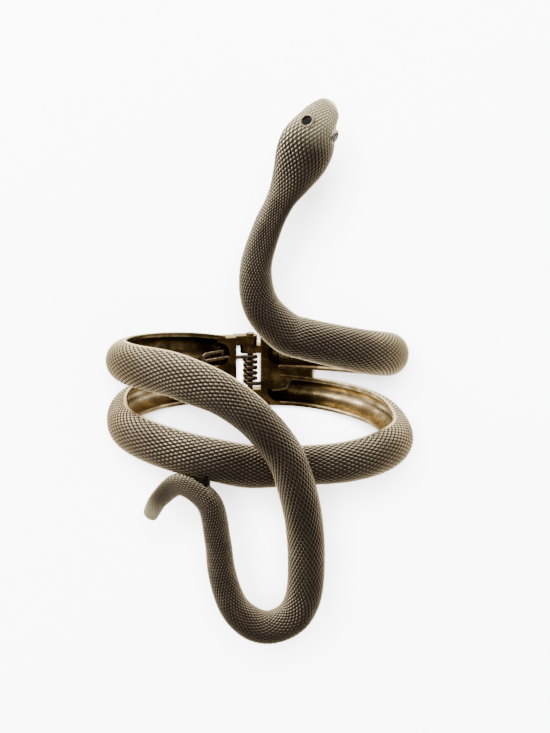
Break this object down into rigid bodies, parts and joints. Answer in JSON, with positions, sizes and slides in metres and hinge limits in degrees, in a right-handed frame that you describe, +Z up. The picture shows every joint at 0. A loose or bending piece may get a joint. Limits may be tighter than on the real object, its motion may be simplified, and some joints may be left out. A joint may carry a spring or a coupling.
{
  "type": "upper arm cuff",
  "caption": "Snake-shaped cuff for the upper arm: cast bands with scales, a looped tail and a head with dark stone eyes, on a sprung hinge at the back.",
  "frame": {"origin": "middle of the cuff's bounding box, on the surface that the hinge blocks lie on", "axes": "+Z up through the front of the cuff, where the bands cross; +Y along the arm towards the snake's head; +X to the right as seen from the front with the head up"},
  "size_m": [0.086, 0.1496, 0.0773],
  "materials": {
    "cast_brass": "antique, polished on the high places and dark in the grooves",
    "pin_steel": "satin, darkened",
    "spring_steel": "drawn wire, bronzed",
    "dark_stone": "faceted and polished, opaque"
  },
  "bodies": {
    "tail_body": {"tail_half": "cast_brass", "hinge_pin": "pin_steel", "hinge_spring": "spring_steel"},
    "head_body": {"head_half": "cast_brass", "left_eye": "dark_stone", "right_eye": "dark_stone"}
  },
  "joints": [
    {"name": "cuff_hinge", "type": "hinge", "parent": "tail_body", "child": "head_body", "pos_m": [0, -0.01598, 0.0025], "axis": [0, 1, 0], "range_deg": [0, 40], "stiffness_Nm_per_rad": 0.08, "springref_deg": -85.94, "deforming": ["hinge_spring"]}
  ]
}
